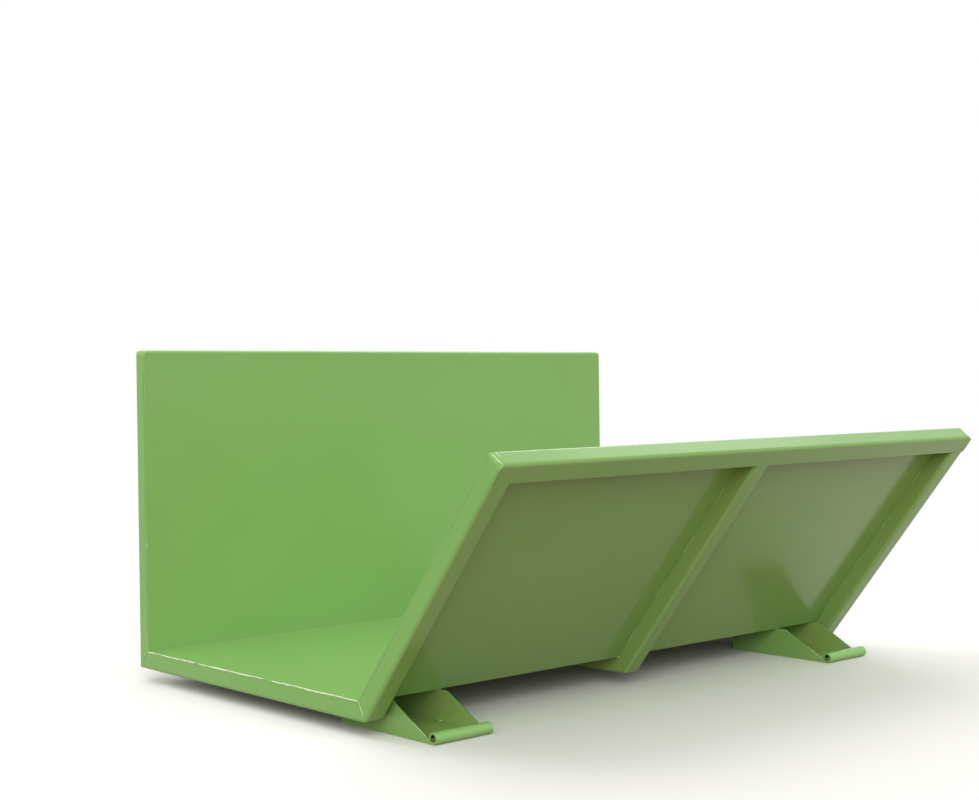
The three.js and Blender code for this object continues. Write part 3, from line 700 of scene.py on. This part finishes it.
# Hexagon bolt with washers and a nut, through hook and lever
def leverBolt(node, look):
    low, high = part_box(node)
    middle = (low + high) / 2
    length = high.x - low.x
    flat, bevel = look["boltAcross"] / 2, look["bevel"]
    nut = length - look["boltHead"] - look["tail"]
    rings = [
        even(0, 0), even(flat - bevel, 0), hexagon(look["boltAcross"], 0, -1),
        hexagon(look["boltAcross"], look["boltHead"], 0),
        even(look["washerRadius"], look["boltHead"]),
        even(look["washerRadius"], look["boltHead"] + look["washer"]),
        even(look["shank"], look["boltHead"] + look["washer"]),
        even(look["shank"], nut - look["washer"]),
        even(look["washerRadius"], nut - look["washer"]), even(look["washerRadius"], nut),
        hexagon(look["boltAcross"], nut, 0),
        hexagon(look["boltAcross"], length - look["tail"], 1),
        even(flat - bevel, length - look["tail"]), even(look["shank"], length - look["tail"]),
        even(look["shank"] - look["tail"], length), even(0, length),
    ]
    piece = turnedPiece(node, rings, (low.x, middle.y, middle.z), (1, 0, 0), look["steps"])
    swapIn(piece, node)


clampLook = {
    "steps": 60,
    "tip": 0.007,
    "tipLength": 0.005,
    "shank": 0.010,
    "shankTop": 0.080,
    "head": 0.015,
    "bevel": 0.001,
    "barBore": 0.0063,
    "nutBore": 0.0103,
    "nutAcross": 0.02944,
    "bar": 0.006,
    "barEnd": 0.0075,
    "bulgeTurn": 120,  # degrees of the rounded end, from its tip
    "bulgeStep": 15,
    "neckShare": 2.2,  # of barEnd, from the tip to the straight bar
    "thread": {
        "pitch": 0.004, "ringsPerTurn": 8, "depth": 0.0012, "crestShare": 0.3,
        "flankShare": 0.35},
}


# Clamp screw with its thread, and the head bored for the bar
def clampScrew(node, look):
    low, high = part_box(node)
    middle, length = (low + high) / 2, high.z - low.z
    tip, shank, head, bevel = look["tip"], look["shank"], look["head"], look["bevel"]
    rings = [
        even(0, 0), even(tip - bevel, 0), even(tip, bevel), even(tip, look["tipLength"]),
        even(shank - bevel, look["tipLength"]),
        *threadRings(shank, look["tipLength"] + bevel, look["shankTop"] - bevel, look["thread"]),
        even(shank, look["shankTop"]), even(head - bevel, look["shankTop"]),
        even(head, look["shankTop"] + bevel), even(head, length - bevel),
        even(head - bevel, length), even(0, length),
    ]
    piece = turnedPiece(node, rings, (middle.x, middle.y, low.z), (0, 0, 1), look["steps"])
    reach = 2 * head  # of the drill, well past the head on both sides
    bore = [even(0, 0), even(look["barBore"], 0), even(look["barBore"], 2 * reach),
            even(0, 2 * reach)]
    barHeight = low.z + (look["shankTop"] + length) / 2
    drill = turnedPiece(
        node, bore, (middle.x - reach, middle.y, barHeight), (1, 0, 0), look["steps"])
    hole = piece.modifiers.new("bore", "BOOLEAN")
    hole.object = drill
    hole.solver = "EXACT"
    settle(piece)
    bpy.data.objects.remove(drill)
    piece.data.set_sharp_from_angle(angle=math.radians(edgeRounds["sharperThan"]))
    swapIn(piece, node)


def clampNut(node, look):
    low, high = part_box(node)
    middle, tall = (low + high) / 2, high.z - low.z
    flat, bore, bevel = look["nutAcross"] / 2, look["nutBore"], look["bevel"]
    rings = [
        even(bore, bevel), even(bore + bevel, 0), even(flat - bevel, 0),
        hexagon(look["nutAcross"], 0, -1), hexagon(look["nutAcross"], tall, 1),
        even(flat - bevel, tall), even(bore + bevel, tall), even(bore, tall - bevel),
    ]
    piece = turnedPiece(
        node, rings, (middle.x, middle.y, low.z), (0, 0, 1), look["steps"], closed=True)
    swapIn(piece, node)


# Tommy bar with upset, rounded ends
def clampBar(node, look):
    low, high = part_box(node)
    middle, length = (low + high) / 2, high.x - low.x
    end, bar = look["barEnd"], look["bar"]
    angles = [math.radians(i) for i in range(0, look["bulgeTurn"] + 1, look["bulgeStep"])]
    bulge = [even(end * math.sin(angle), end * (1 - math.cos(angle))) for angle in angles]
    other = [(lambda turn, ring=ring: (ring(turn)[0], length - ring(turn)[1]))
             for ring in reversed(bulge)]
    neck = look["neckShare"] * end
    straight = [even(bar, neck), even(bar, length - neck)]
    piece = turnedPiece(
        node, bulge + straight + other, (low.x, middle.y, middle.z), (1, 0, 0), look["steps"])
    swapIn(piece, node)


knobLook = {
    "steps": 96,
    "tipChamfer": 0.0015,
    "pin": 0.006,
    "neck": 0.0095,
    "grip": 0.013,
    "knob": 0.020,
    "knobShares": (0.1, 0.25, 0.75, 0.9),  # widens, fluted from, fluted to, narrows
    "flutes": 16,
    "fluteDepth": 0.0008,
}


# Lock pin with a fluted knob
def lockPin(node, look):
    low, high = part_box(node)
    middle, length = (low + high) / 2, high.x - low.x
    pin, neck, grip, knob = look["pin"], look["neck"], look["grip"], look["knob"]
    root, shoulder = length - knob, (neck + grip) / 2
    widens, fluteFrom, fluteTo, narrows = (root + knob * share for share in look["knobShares"])
    rings = [
        even(0, 0), even(pin - look["tipChamfer"], 0), even(pin, look["tipChamfer"]),
        even(pin, root), even(neck, root), even(shoulder, widens),
        fluted(grip, fluteFrom, look["flutes"], look["fluteDepth"]),
        fluted(grip, fluteTo, look["flutes"], look["fluteDepth"]),
        even(shoulder, narrows), even(neck, length), even(0, length),
    ]
    piece = turnedPiece(node, rings, (low.x, middle.y, middle.z), (1, 0, 0), look["steps"])
    swapIn(piece, node)


detailed = {
    "lever_bolt_lower": (leverBolt, fastenerLook),
    "lever_bolt_upper": (leverBolt, fastenerLook),
    "lock_pin": (lockPin, knobLook),
}
for side in ("left", "right"):
    detailed["clamp_screw_" + side] = (clampScrew, clampLook)
    detailed["clamp_nut_" + side] = (clampNut, clampLook)
    detailed["clamp_bar_" + side] = (clampBar, clampLook)
for node in frame["nodes"]:
    if node in detailed:
        build, look = detailed[node]
        build(node, look)
    else:
        roundEdges(node, edgeRounds)
print("edges rounded and fasteners cut")

# Where the trough's plates meet. The front wall's two values are the same as in the CAD.
frontWall = {
    "floorDepth": 0.860,  # from the back wall's inner face to the front wall's foot
    "lean": 38.4,  # degrees from upright
}
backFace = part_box("back_wall")[0].y
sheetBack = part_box("back_rib_left")[0].y
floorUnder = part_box("floor_sheet")[0].z
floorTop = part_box("floor_sheet")[1].z
frontFoot = Vector((0, backFace - frontWall["floorDepth"], floorUnder))
frontLean = math.radians(frontWall["lean"])
upSlope = Vector((0, -math.sin(frontLean), math.cos(frontLean)))
outSlope = Vector((0, -math.cos(frontLean), -math.sin(frontLean)))


# A point of the front wall from its place along the trough, up the slope and out from the sheet
def onFront(x, up, out):
    return frontFoot + Vector((x, 0, 0)) + upSlope * up + outSlope * out


weldLook = {
    "radius": 0.0028,
    "ripplePitch": 0.0032,
    "rippleDepth": 0.10,  # this and the unevenness are shares of the radius
    "unevenness": 0.22,
    "driftScale": 90.0,  # of the noise that makes a bead uneven
    "endShare": 0.45,  # of its width that a bead has at its ends
    "sampling": 0.0011,
    "sides": 8,
    "seed": 4.0,
}


# Geometry Nodes tree that lays a rippled weld bead along every edge of a mesh
def weldBeadTree(look):
    tree = bpy.data.node_groups.new("weldBead", "GeometryNodeTree")
    sockets = {}
    face = tree.interface
    face.new_socket("Seams", in_out="INPUT", socket_type="NodeSocketGeometry")
    for name in ("Radius", "Ripple Pitch", "Ripple Depth", "Unevenness", "Sampling", "Seed"):
        sockets[name] = face.new_socket(name, in_out="INPUT", socket_type="NodeSocketFloat")
    sockets["Sides"] = face.new_socket("Sides", in_out="INPUT", socket_type="NodeSocketInt")
    sockets["Finish"] = face.new_socket(
        "Finish", in_out="INPUT", socket_type="NodeSocketMaterial")
    face.new_socket("Beads", in_out="OUTPUT", socket_type="NodeSocketGeometry")
    given = addNode(tree, "NodeGroupInput").outputs
    line = addNode(tree, "GeometryNodeMeshToCurve", {"Mesh": given["Seams"]})
    fine = addNode(tree, "GeometryNodeResampleCurve", {
        "Curve": line.outputs["Curve"], "Length": given["Sampling"]}, mode="LENGTH")
    run = addNode(tree, "GeometryNodeSplineParameter").outputs["Length"]
    full = addNode(tree, "GeometryNodeSplineLength").outputs["Length"]
    left = addNode(tree, "ShaderNodeMath", {0: full, 1: run}, operation="SUBTRACT")
    nearest = addNode(tree, "ShaderNodeMath", {
        0: run, 1: left.outputs["Value"]}, operation="MINIMUM")
    taper = addNode(tree, "ShaderNodeMapRange", {
        "Value": nearest.outputs["Value"], "From Max": given["Ripple Pitch"],
        "To Min": look["endShare"], "To Max": 1.0}, interpolation_type="SMOOTHSTEP")
    turns = addNode(tree, "ShaderNodeMath", {
        0: run, 1: given["Ripple Pitch"]}, operation="DIVIDE")
    phase = addNode(tree, "ShaderNodeMath", {0: turns.outputs["Value"]}, operation="FRACT")
    ripple = addNode(tree, "ShaderNodeMath", {
        0: phase.outputs["Value"], 1: given["Ripple Depth"]}, operation="MULTIPLY")
    spot = addNode(tree, "GeometryNodeInputPosition").outputs["Position"]
    drift = addNode(tree, "ShaderNodeTexNoise", {
        "Vector": spot, "W": given["Seed"], "Scale": look["driftScale"], "Detail": 2.0},
        noise_dimensions="4D")
    uneven = addNode(tree, "ShaderNodeMath", {
        0: drift.outputs["Fac"], 1: given["Unevenness"]}, operation="MULTIPLY")
    less = addNode(tree, "ShaderNodeMath", {
        0: ripple.outputs["Value"], 1: uneven.outputs["Value"]}, operation="ADD")
    thick = addNode(tree, "ShaderNodeMath", {
        0: 1.0, 1: less.outputs["Value"]}, operation="SUBTRACT")
    scale = addNode(tree, "ShaderNodeMath", {
        0: thick.outputs["Value"], 1: taper.outputs["Result"]}, operation="MULTIPLY")
    ring = addNode(tree, "GeometryNodeCurvePrimitiveCircle", {
        "Resolution": given["Sides"], "Radius": given["Radius"]})
    bead = addNode(tree, "GeometryNodeCurveToMesh", {
        "Curve": fine.outputs["Curve"], "Profile Curve": ring.outputs["Curve"],
        "Scale": scale.outputs["Value"], "Fill Caps": True})
    smooth = addNode(tree, "GeometryNodeSetShadeSmooth", {"Geometry": bead.outputs["Mesh"]})
    real = addNode(tree, "GeometryNodeRealizeInstances", {
        "Geometry": smooth.outputs["Geometry"]})
    painted = addNode(tree, "GeometryNodeSetMaterial", {
        "Geometry": real.outputs["Geometry"], "Material": given["Finish"]})
    addNode(tree, "NodeGroupOutput", {"Beads": painted.outputs["Geometry"]})
    return tree, sockets


weldTree, weldSockets = weldBeadTree(weldLook)


# seams is a list of lines, each a list of points that the bead follows
def weld(name, seams, body, slot, look, **changes):
    mesh = bpy.data.meshes.new(name)
    points, edges = [], []
    for seam in seams:
        edges += [(len(points) + i, len(points) + i + 1) for i in range(len(seam) - 1)]
        points += [tuple(point) for point in seam]
    mesh.from_pydata(points, edges, [])
    piece = addPiece(name, mesh)
    bead = piece.modifiers.new("bead", "NODES")
    bead.node_group = weldTree
    size = {"finish": finishes[slot][0], **look, **changes}
    values = {
        "Radius": size["radius"],
        "Ripple Pitch": size["ripplePitch"],
        "Ripple Depth": size["rippleDepth"],
        "Unevenness": size["unevenness"],
        "Sampling": size["sampling"],
        "Seed": size["seed"],
        "Sides": size["sides"],
        "Finish": size["finish"],
    }
    for key, value in values.items():
        bead[weldSockets[key].identifier] = value
    settle(piece)
    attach(piece, body)


# Cuts the line from start to end into stitches of one length, as many as fit at about that pitch
def stitches(start, end, length, pitch):
    start, end = Vector(start), Vector(end)
    run = (end - start).length
    along = (end - start) / run
    count = max(2, round((run - length) / pitch) + 1)
    step = (run - length) / (count - 1)
    return [(start + along * step * i, start + along * (step * i + length)) for i in range(count)]


ribWelds = {
    "stitch": 0.045,
    "pitch": 0.150,
    "lift": 0.0008,  # the bead's middle, out of the corner
    "clearOfLip": 0.100,  # from the rib's top to the last stitch
    "tackFrom": (0.002, 0.002),  # up and out from the front wall's foot, at the middle rib
    "tackRun": (-0.0005, 0.007, 0.0),
    "tackRadius": 0.0042,
}


def weldRibs(look):
    seams = []
    for rib in ("left", "middle", "right"):
        low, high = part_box("back_rib_" + rib)
        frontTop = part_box("front_rib_" + rib)[1].z
        slopeRun = (frontTop - floorUnder) / math.cos(frontLean) - look["clearOfLip"]
        for x, side in ((low.x, -1), (high.x, 1)):
            if abs(x) > cadBox[1].x - look["stitch"]:  # at the trough's open end
                continue
            x += side * look["lift"]
            seams += stitches(
                onFront(x, look["stitch"], look["lift"]),
                onFront(x, slopeRun, look["lift"]), look["stitch"], look["pitch"])
            seams += stitches(
                (x, frontFoot.y, floorUnder - look["lift"]),
                (x, sheetBack, floorUnder - look["lift"]), look["stitch"], look["pitch"])
            seams += stitches(
                (x, sheetBack + look["lift"], floorTop),
                (x, sheetBack + look["lift"], high.z - look["stitch"]),
                look["stitch"], look["pitch"])
    # the stitches take the paler finish, painted highlights on their crests
    weld("ribStitches", seams, "trough", "trough_paint", weldLook, finish=paleSheenPaint)
    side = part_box("floor_rib_middle")[0].x
    start = onFront(side - look["lift"], *look["tackFrom"])
    tack = [start, start + Vector(look["tackRun"])]
    # the tack blob takes the paler nose finish, a painted highlight
    weld("ribTack", [tack], "trough", "trough_paint", weldLook, finish=noseHighlightPaint,
         radius=look["tackRadius"])


weldRibs(ribWelds)

plateWelds = {
    "lift": 0.0007,
    "footPlate": 0.005,
    "bracketPlate": 0.008,
    "beamTop": 0.060,
    "clearOfEnd": 0.004,
    "clearOfHeel": 0.008,  # at a foot's rear end
    "lugFront": 0.024,  # from the foot of a catch lug up to the bead on its front edge
    "lugRear": 0.012,  # and up to the bead on its rear edge
    "bead": {"radius": 0.0032, "seed": 9.0},
}


# Beads along an upright line on a plate, on the faces at sides -1 and 1
def uprightBeads(node, y, look, sides=(-1, 1)):
    low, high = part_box(node)
    bottom, top = low.z + look["clearOfEnd"], look["beamTop"] - look["clearOfEnd"]
    faces = {-1: low.x - look["lift"], 1: high.x + look["lift"]}
    return [((faces[side], y, bottom), (faces[side], y, top)) for side in sides]


# Feet, hinge lugs and catch lugs on the trough
def weldTrough(look):
    seams = []
    lift, clear = look["lift"], look["clearOfEnd"]
    under = floorUnder - lift
    for side in ("left", "right"):
        low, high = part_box("foot_" + side)
        inner = look["footPlate"] + lift
        for x in (low.x - lift, low.x + inner, high.x - inner, high.x + lift):
            seams.append((
                (x, high.y - look["clearOfHeel"], under), (x, frontFoot.y + clear, under)))
        rear = high.y + lift
        seams.append(((low.x + clear, rear, under), (high.x - clear, rear, under)))
        low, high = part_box("hinge_lug_" + side)
        for x in (low.x - lift, high.x + lift):
            seams.append(((x, low.y + clear, under), (x, high.y - clear, under)))
        low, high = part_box("catch_lug_" + side)
        face = low.x if side == "right" else high.x
        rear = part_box("back_rib_middle")[1].y
        seams.append(((face, low.y, high.z + lift), (face, rear, high.z + lift)))
        for y, rise in ((low.y - lift, look["lugFront"]), (rear + lift, look["lugRear"])):
            seams.append(((face, y, low.z + rise), (face, y, high.z)))
    weld("lugWelds", seams, "trough", "trough_paint", weldLook, **look["bead"])


# Base frame: beams between the pockets, and the plates on them
def weldBase(look):
    seams = []
    lift, clear = look["lift"], look["clearOfEnd"]
    for beam in ("front_crossbeam", "rear_crossbeam"):
        low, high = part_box(beam)
        for x in (low.x, high.x):
            for y in (low.y - lift, high.y + lift):
                seams.append(((x, y, low.z + clear), (x, y, high.z - clear)))
            if beam == "front_crossbeam":
                top = high.z + lift
                seams.append(((x, low.y + clear, top), (x, high.y - clear, top)))
    for side in ("left", "right"):
        for place in ("inner", "outer"):
            plate = "bearing_plate_" + place + "_" + side
            away = 1 if (place == "outer") == (side == "right") else -1  # clear of the lug
            seams += uprightBeads(plate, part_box(plate)[1].y, look, sides=(away,))
        seams += uprightBeads("latch_bracket_" + side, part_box("rear_crossbeam")[0].y, look)
        low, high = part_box("clamp_nut_" + side)
        middle, reach = (low + high) / 2, (high.x - low.x) / 2 + lift
        corners = [(middle.x + reach * math.cos(math.radians(60 * i)),
                    middle.y + reach * math.sin(math.radians(60 * i)), low.z + lift)
                   for i in range(7)]
        seams.append(corners)
    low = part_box("lock_bracket")[0]
    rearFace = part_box("rear_crossbeam")[0].y
    for x in (low.x - lift, low.x + look["bracketPlate"] + lift):
        seams.append(((x, rearFace, low.z + clear), (x, rearFace, look["beamTop"] - clear)))
    weld("frameWelds", seams, "base", "base_paint", weldLook, **look["bead"])


weldTrough(plateWelds)
weldBase(plateWelds)

# Seams between painted pieces are ground flush and filled by the paint
groundSeams = {
    "radius": 0.0006,
    "rippleDepth": 0.0,
    "unevenness": 0.1,
    "sampling": 0.012,
    "sides": 6,
}
for (body, slot), seams in paintSeams.items():
    weld("groundSeams_" + body, seams, body, slot, weldLook, **groundSeams)

# Painted highlights: pale, uneven beads along the left end edges of the floor and the lip, the
# mitre at the left end and the slopes of the feet, for light glinting on those rounded edges
drawnEdges = {
    "radius": 0.0016,
    "rippleDepth": 0.25,
    "ripplePitch": 0.017,
    "unevenness": 0.6,
    "sampling": 0.003,
    "finish": edgeHighlightPaint,
}
highlightLines = {
    "inset": 0.0004,  # from the end face
    "kink": 0.019,  # from one bend of the line to the next
    "wander": 0.0008,  # how far it goes up and down
    "beats": (7.1, 3.3),  # of the two waves that it follows, in radians a kink
    "mitre": 0.038,
    "mitreKink": 0.008,
    "flange": ((-0.7962, 0.6739, 0.001), (-0.7950, 0.6746, 0.034)),  # along, up, out
    "footTip": Vector((0.0006, 0.021, 0.007)),  # from the low corner of a foot
    "footSlope": Vector((0, 0.055, 0.0288)),  # the lower part, where the line is pale
    "footWander": 0.0003,
    "footRadius": 0.0008,
}


# A line that wanders up and down like a poured edge
def wanderingLine(start, end, look):
    count = max(2, round((end - start).length / look["kink"]))
    line = []
    for i in range(count + 1):
        spot = start.lerp(end, i / count)
        waves = [math.sin(beat * i) for beat in look["beats"]]
        spot.z += look["wander"] * sum(waves) / len(waves)
        line.append(spot)
    return line


def layHighlightLines(look, lines):
    end = cadBox[0].x + lines["inset"]
    rear = Vector((end, backFace, floorTop))
    corner = Vector((end, frontFoot.y, floorTop))
    outward = (outSlope - Vector((0, 0, 1))).normalized()
    flangeStart, flangeEnd = (onFront(*spot) for spot in lines["flange"])
    mitre = {**lines, "kink": lines["mitreKink"]}
    seams = [
        wanderingLine(rear, corner, lines),
        wanderingLine(corner, corner + outward * lines["mitre"], mitre),
        wanderingLine(flangeStart, flangeEnd, lines),
    ]
    weld("drawnEdges", seams, "trough", "trough_paint", weldLook, **look)
    calm = {**lines, "wander": lines["footWander"]}
    slopes = []
    for foot in ("foot_left", "foot_right"):
        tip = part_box(foot)[0] + lines["footTip"]
        slopes.append(wanderingLine(tip, tip + lines["footSlope"], calm))
    thin = {**look, "radius": lines["footRadius"]}
    weld("drawnSlopes", slopes, "trough", "trough_paint", weldLook, **thin)


layHighlightLines(drawnEdges, highlightLines)
print("welds laid")

# Floor of the studio, pale where the camera and shiny surfaces see it
studio = {
    "floorReach": 30.0,
    "seenColour": "#f1efeb",
    "bounceColour": "#a88366",
    "roughness": 0.7,
    "sheen": 0.2,
    "fadeFrom": 1.3,  # metres from the tipper's middle to where the floor begins to turn white
    "fadeTo": 4.0,
    "ambient": 0.66,
    "ambientSeen": 1.0,
}


# 1 for what the camera, a reflection or a view through glass meets, and 0 for what only
# lights the object
def seenShare(tree):
    ray = addNode(tree, "ShaderNodeLightPath").outputs
    seen = addNode(tree, "ShaderNodeMath", {
        0: ray["Is Camera Ray"], 1: ray["Is Glossy Ray"]}, operation="ADD")
    seen = addNode(tree, "ShaderNodeMath", {
        0: seen.outputs["Value"], 1: ray["Is Transmission Ray"]}, operation="ADD", use_clamp=True)
    return seen.outputs["Value"]


def layFloor(look):
    shape = bmesh.new()
    bmesh.ops.create_grid(shape, x_segments=1, y_segments=1, size=look["floorReach"])
    mesh = bpy.data.meshes.new("studioFloor")
    shape.to_mesh(mesh)
    shape.free()
    floor = addPiece("studioFloor", mesh)
    material, tree, place = startMaterial("paleStudioFloor")
    seen = seenShare(tree)
    tone = addNode(tree, "ShaderNodeMix", {
        "Factor": seen, "A": linearColour(look["bounceColour"]),
        "B": linearColour(look["seenColour"])}, data_type="RGBA")
    near = addNode(tree, "ShaderNodeBsdfPrincipled", {
        "Base Color": tone.outputs["Result"], "Roughness": look["roughness"],
        "Specular IOR Level": look["sheen"]})
    far = addNode(tree, "ShaderNodeEmission", {"Strength": look["ambientSeen"]})
    away = addNode(tree, "ShaderNodeVectorMath", {0: place}, operation="LENGTH")
    fade = addNode(tree, "ShaderNodeMapRange", {
        "Value": away.outputs["Value"], "From Min": look["fadeFrom"], "From Max": look["fadeTo"]},
        interpolation_type="SMOOTHERSTEP")
    white = addNode(tree, "ShaderNodeMath", {
        0: fade.outputs["Result"], 1: seen}, operation="MULTIPLY")
    shader = addNode(tree, "ShaderNodeMixShader", {
        0: white.outputs["Value"], 1: near.outputs["BSDF"], 2: far.outputs["Emission"]})
    endMaterial(tree, shader)
    mesh.materials.append(material)


def fillWorld(look):
    world = bpy.data.worlds.new("studioAir")
    bpy.context.scene.world = world
    world.use_nodes = True
    tree = world.node_tree
    tree.nodes.clear()
    strength = addNode(tree, "ShaderNodeMapRange", {
        "Value": seenShare(tree), "To Min": look["ambient"], "To Max": look["ambientSeen"]})
    air = addNode(tree, "ShaderNodeBackground", {
        "Color": linearColour("#ffffff"), "Strength": strength.outputs["Result"]})
    addNode(tree, "ShaderNodeOutputWorld", {"Surface": air.outputs["Background"]})


layFloor(studio)
fillWorld(studio)

lamps = {
    "front": {"kind": "SUN", "from": (-0.62, -0.6, 0.5), "strength": 2.0, "angle": 50},
    "overhead": {
        "kind": "AREA", "place": (-1.1, 0.4, 3.2), "aim": (-0.1, 0, 0.3), "size": (1.6, 2.4),
        "strength": 30},
    "strip": {
        "kind": "AREA", "place": (1.6, 2.0, 3.2), "aim": (0, 0, 0.5), "size": (3.4, 0.5),
        "strength": 22},
    "right": {
        "kind": "AREA", "place": (2.4, -0.2, 2.9), "aim": (0.4, -0.5, 0.5), "size": (3.2, 1.0),
        "strength": 12},
}


def hangLamps(kit):
    for name, look in kit.items():
        light = bpy.data.lights.new(name + "Lamp", look["kind"])
        light.energy = look["strength"]
        lamp = bpy.data.objects.new(name + "Lamp", light)
        bpy.context.scene.collection.objects.link(lamp)
        if look["kind"] == "SUN":
            light.angle = math.radians(look["angle"])
            back = Vector(look["from"])
        else:
            light.shape = "RECTANGLE"
            light.size, light.size_y = look["size"]
            lamp.location = look["place"]
            back = Vector(look["place"]) - Vector(look["aim"])
        lamp.rotation_euler = back.to_track_quat("Z", "Y").to_euler()


hangLamps(lamps)
bpy.context.scene.view_settings.view_transform = "Standard"
print("studio lit")
